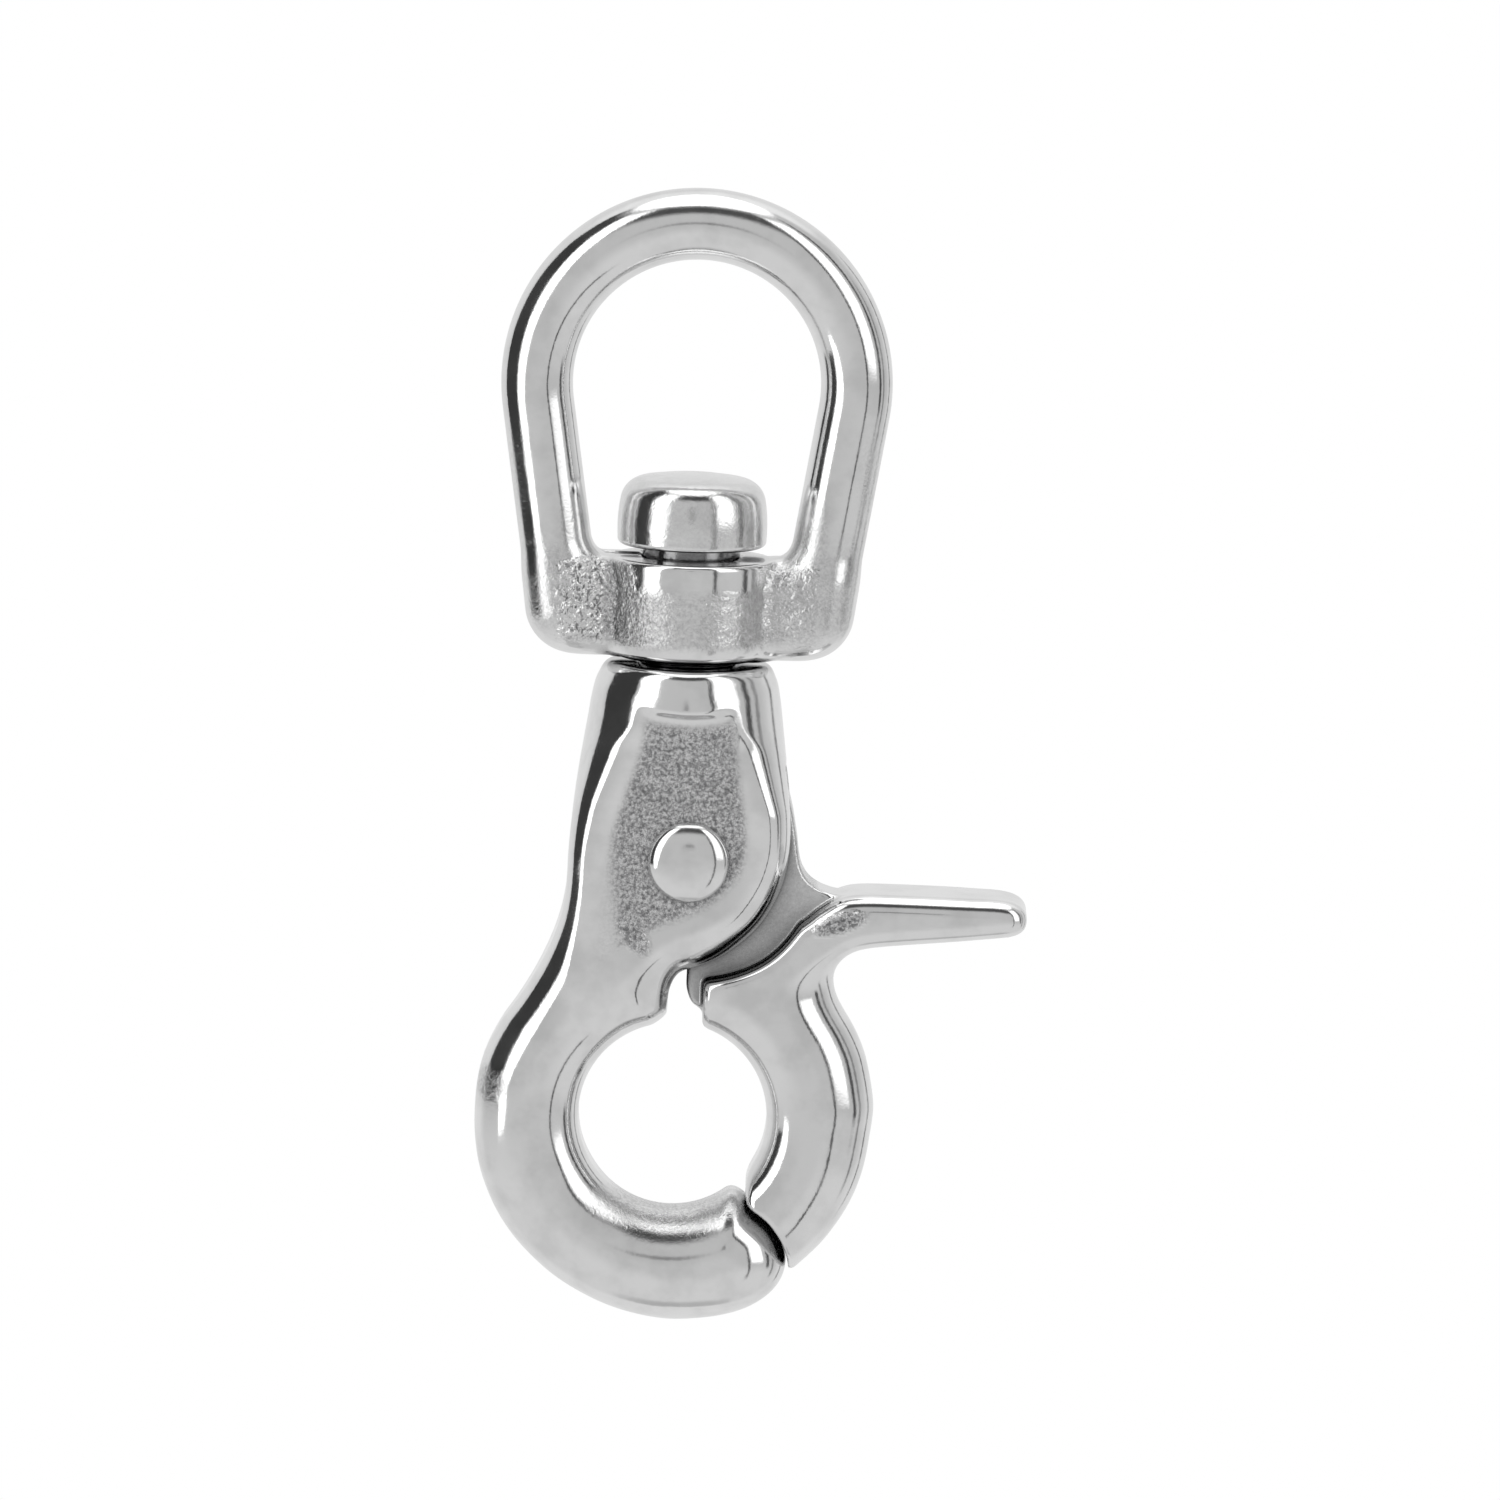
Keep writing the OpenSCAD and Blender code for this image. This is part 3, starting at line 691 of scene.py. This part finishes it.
def steel(name, colour=(0.80, 0.80, 0.80), roughness=0.095, cast=True, grain_depth=1.0,
          lump_depth=0.11, painted_shade_reach=0.0012, painted_shade_strength=0.55, painted_shade_grey=0.25,
          painted_shade_low=1.0):
    """Polished steel, sand-cast where the masks say so, with painted shade darkening its corners.
    """
    material = bpy.data.materials.new(name)
    g = Graph(material)
    coords = g.node("TexCoord").outputs["Object"]

    def noise(scale, detail, rough, seed, vector=coords):
        return g.node("TexNoise", {"W": seed, "Scale": scale, "Detail": detail,
                                   "Roughness": rough, "Vector": vector},
                      noise_dimensions="4D").outputs["Fac"]

    # polished surface: patches of wear, fine upright scratches
    stretched = g.node("Mapping", {"Scale": (1.0, 1.0, 0.06), "Vector": coords}).outputs["Vector"]
    scratch = noise(scale=9000, detail=1.0, rough=0.5, seed=6.0, vector=stretched)
    patches = noise(scale=420, detail=3.0, rough=0.55, seed=5.0)
    rough = g.add(g.ramp(patches, at=(0.35, 0.7), to=(roughness * 0.75, roughness * 1.35)),
                  g.times(g.ramp(scratch, at=(0.6, 0.75)), 0.05))
    base = g.tint(g.ramp(patches, at=(0.3, 0.6)), (*[c * 0.89 for c in colour], 1),
                  (*colour, 1), blend="MIX")

    # bump heights are in millimetres
    wave = noise(scale=260, detail=1.0, rough=0.4, seed=3.0)
    skin = noise(scale=3400, detail=3.0, rough=0.6, seed=8.0)
    height = g.add(g.times(wave, 0.02), g.add(g.times(scratch, 0.0006), g.times(skin, 0.0042)))

    if cast:
        mask, coarse = (g.node("Attribute", attribute_name=key).outputs["Fac"]
                        for key in ("cast", "lump"))
        grain = noise(scale=4800, detail=4.0, rough=0.75, seed=1.0)
        fine_grain = noise(scale=10500, detail=1.0, rough=0.5, seed=2.0)
        pits = g.ramp(noise(scale=2100, detail=1.0, rough=0.5, seed=4.0), at=(0.56, 0.72))
        specks = g.ramp(noise(scale=3000, detail=2.0, rough=0.6, seed=10.0), at=(0.52, 0.62))
        lumps = g.ramp(noise(scale=1500, detail=2.0, rough=0.6, seed=9.0), at=(0.38, 0.66))
        rough = g.add(rough, g.times(mask, 0.09))
        hollows = g.ramp(grain, at=(0.36, 0.62), to=(grain_depth, 0.25 * grain_depth))
        # grain hollows and specks darken the colour; on the trigger's tongue this is partly
        # painted shade
        dark = g.math("MAXIMUM", g.times(mask, hollows), g.times(coarse, specks))
        base = g.tint(dark, base, (0.19, 0.19, 0.195, 1))
        sand = g.add(g.times(grain, 0.09 * grain_depth),
                     g.add(g.times(fine_grain, 0.02), g.times(pits, -0.03)))
        height = g.add(height, g.times(sand, mask))
        height = g.add(height, g.times(g.times(lumps, coarse), lump_depth))
        height = g.add(height, g.times(g.times(specks, coarse), -0.05))

    # painted shade: the colour is darkened in corners, and below the eye's middle by only the low
    # share of the full amount
    open_sky = g.node("AmbientOcclusion", {"Distance": painted_shade_reach}, samples=8).outputs["AO"]
    up = g.node("SeparateXYZ", {0: coords}).outputs["Z"]
    painted_shade_amount = g.times(g.ramp(open_sky, at=(0.3, 0.95), to=(painted_shade_strength, 0.0)),
                    g.ramp(up, at=(-0.047, -0.043), to=(painted_shade_low, 1.0)))
    base = g.tint(painted_shade_amount, base, (painted_shade_grey, painted_shade_grey, painted_shade_grey * 1.02, 1))

    bump = g.node("Bump", {"Strength": 1.0, "Distance": 0.001, "Height": height})
    shader = g.node("BsdfPrincipled", {"Metallic": 1.0, "Base Color": base, "Roughness": rough,
                                       "Normal": bump.outputs["Normal"]})
    g.node("OutputMaterial", {"Surface": shader.outputs["BSDF"]})
    return material


def dress(obj, material, node, carrier):
    obj.data.materials.append(material)
    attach(obj, carrier)
    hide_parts(node)


dress(bail, steel("bail steel", grain_depth=0.8, lump_depth=0.22), "bail", "bail")
dress(stud, steel("stud steel", roughness=0.09), "swivel_stud", "hook")
# painted shade on the body: only a share of it below the eye's middle
dress(body, steel("body steel", painted_shade_low=0.3), "hook_body", "hook")
# painted shade on the trigger: wider and near black, for the dark bands along its sunk tongue,
# with little of it below the eye's middle
dress(trigger, steel("trigger steel", painted_shade_reach=0.0038, painted_shade_strength=1.0, painted_shade_grey=0.06,
                     painted_shade_low=0.15), "trigger", "trigger")
dress(rivet, steel("rivet steel", roughness=0.1, cast=False), "pivot_rivet", "hook")
spring.data.materials.append(
    steel("spring steel", colour=(0.5, 0.5, 0.51), roughness=0.3, cast=False))
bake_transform(spring)
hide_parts("torsion_spring")

# ---------------------------------------------------------------- studio
# Painted on the world in this order, each over the last. Bands are (from, to, softness) in
# degrees. Azimuth is 0 towards the camera and + to the right; sides is its absolute value.
ROOM_LEVEL = 0.60
STUDIO = (
    dict(level=0.74, elevation=(-100, -14, 17)),                              # table, lit
    dict(level=0.52, elevation=(-100, -76, 5)),                               # straight below
    dict(level=0.82, sides=(116, 200, 14)),                                   # sweep behind
    dict(level=1.0, sides=(116, 200, 12), elevation=(46, 100, 10)),           # its upper part
    dict(level=0.08, azimuth=(-34, 38, 6), elevation=(40, 63, 7)),            # hood over camera
    dict(level=1.7, elevation=(66, 100, 3)),                                  # top light
    dict(level=0.06, azimuth=(-112, -69, 3), elevation=(34, 62, 5)),          # left flag, top
    dict(level=1.9, azimuth=(-65, -35, 4), elevation=(42, 60, 5)),            # left box, top
    dict(level=0.10, azimuth=(32.5, 37, 1.5), elevation=(-40, 60, 6)),        # right box's frame
    dict(level=1.7, azimuth=(40, 68, 3), elevation=(-0.5, 58, 4)),            # right soft box
    dict(level=0.08, azimuth=(78, 86, 2), elevation=(-14, 62, 5)),            # dark strips, right
    dict(level=0.28, azimuth=(94, 100, 2), elevation=(-30, 30, 6)),
    dict(level=0.22, azimuth=(126, 131, 2), elevation=(-30, 30, 6)),
    dict(level=0.30, azimuth=(-4, 4, 3), elevation=(4, 11, 3)),               # camera
)


def build_world():
    """Studio seen in reflections; plain white to the camera."""
    world = bpy.data.worlds.new("studio")
    bpy.context.scene.world = world
    g = Graph(world)
    generated = g.node("TexCoord").outputs["Generated"]
    x, y, z = g.node("SeparateXYZ", {0: generated}).outputs
    degrees = 180 / math.pi
    azimuth = g.times(g.math("ARCTAN2", x, g.times(y, -1.0)), degrees)
    angles = {"azimuth": azimuth, "sides": g.math("ABSOLUTE", azimuth),
              "elevation": g.times(g.math("ARCSINE", z), degrees)}

    def band(angle, low, high, soft):
        above = g.ramp(angle, at=(low - soft, low + soft))
        beyond = g.ramp(angle, at=(high - soft, high + soft))
        return g.times(above, g.math("SUBTRACT", 1.0, beyond))

    value = g.add(ROOM_LEVEL, 0.0)
    for area in STUDIO:
        bands = [band(angles[key], *area[key]) for key in angles if key in area]
        mask = g.times(*bands) if len(bands) == 2 else bands[0]
        value = g.add(g.times(value, g.math("SUBTRACT", 1.0, mask)),
                      g.times(mask, area["level"]))
    grey = g.node("CombineColor", {0: value, 1: value, 2: value}).outputs[0]
    reflected, white = (g.node("Background", {"Color": colour}).outputs[0]
                        for colour in (grey, (1, 1, 1, 1)))
    is_camera = g.node("LightPath").outputs["Is Camera Ray"]
    shader = g.node("MixShader", {0: is_camera, 1: reflected, 2: white}).outputs[0]
    g.node("OutputWorld", {"Surface": shader})


def glowing_sheet(name, material_name, level, corners, hidden_from):
    """Flat emitter with corners in metres, unseen by the named kinds of ray."""
    mesh = bpy.data.meshes.new(name)
    mesh.from_pydata(corners, [], [tuple(range(len(corners)))])
    sheet = link_object(name, mesh)
    material = bpy.data.materials.new(material_name)
    g = Graph(material)
    glow = g.node("Emission", {"Color": (level, level, level, 1)}).outputs[0]
    g.node("OutputMaterial", {"Surface": glow})
    mesh.materials.append(material)
    for ray in (hidden_from, "diffuse", "shadow"):
        setattr(sheet, "visible_" + ray, False)


build_world()
# pale floor, well below the hanging hook
HALF, DEPTH = 6.0, -0.25
glowing_sheet("floor", "floor white", 1.0,
              [(-HALF, -HALF, DEPTH), (HALF, -HALF, DEPTH), (HALF, HALF, DEPTH),
               (-HALF, HALF, DEPTH)], hidden_from="glossy")
# cards on the left, seen only in reflections: a black flag and the soft box's lower end
CARDS = (
    ("card_black", 0.05, [(-0.150, -0.0605, -0.0625), (-0.150, 0.0630, -0.0600),
                          (-0.150, 0.0630, 0.16), (-0.150, -0.0605, 0.16)]),
    ("card_white", 1.9, [(-0.1495, -0.0700, -0.082), (-0.1264, -0.1061, -0.074),
                         (-0.1080, -0.1247, -0.02), (-0.0970, -0.1330, 0.16),
                         (-0.1495, -0.0700, 0.16)]),
)
for name, level, corners in CARDS:
    glowing_sheet(name, name, level, corners, hidden_from="camera")

scene = bpy.context.scene
scene.view_settings.view_transform = "Standard"
scene.view_settings.look = "None"
scene.view_settings.exposure = 0.0
scene.view_settings.gamma = 1.0

# ---------------------------------------------------------------- camera
ELEVATION, ROLL = math.radians(8.0), math.radians(1.9)
DISTANCE, VIEW_WIDTH, SENSOR = 0.9, 0.09225, 36
TARGET = Vector((0.00399, 0.0, -0.0226))


def build_camera():
    back = Vector((0, -math.cos(ELEVATION), math.sin(ELEVATION)))
    right = Vector((1, 0, 0))
    up = back.cross(right)
    cosine, sine = math.cos(ROLL), math.sin(ROLL)
    axes = Matrix((right * cosine + up * sine, up * cosine - right * sine, back))
    pose = axes.transposed().to_4x4()
    pose.translation = TARGET + back * DISTANCE
    lens = bpy.data.cameras.new("camera")
    lens.sensor_width = SENSOR
    lens.lens = SENSOR * DISTANCE / VIEW_WIDTH
    lens.clip_end = 50
    camera = link_object("camera", lens)
    camera.matrix_world = pose
    scene.camera = camera


build_camera()
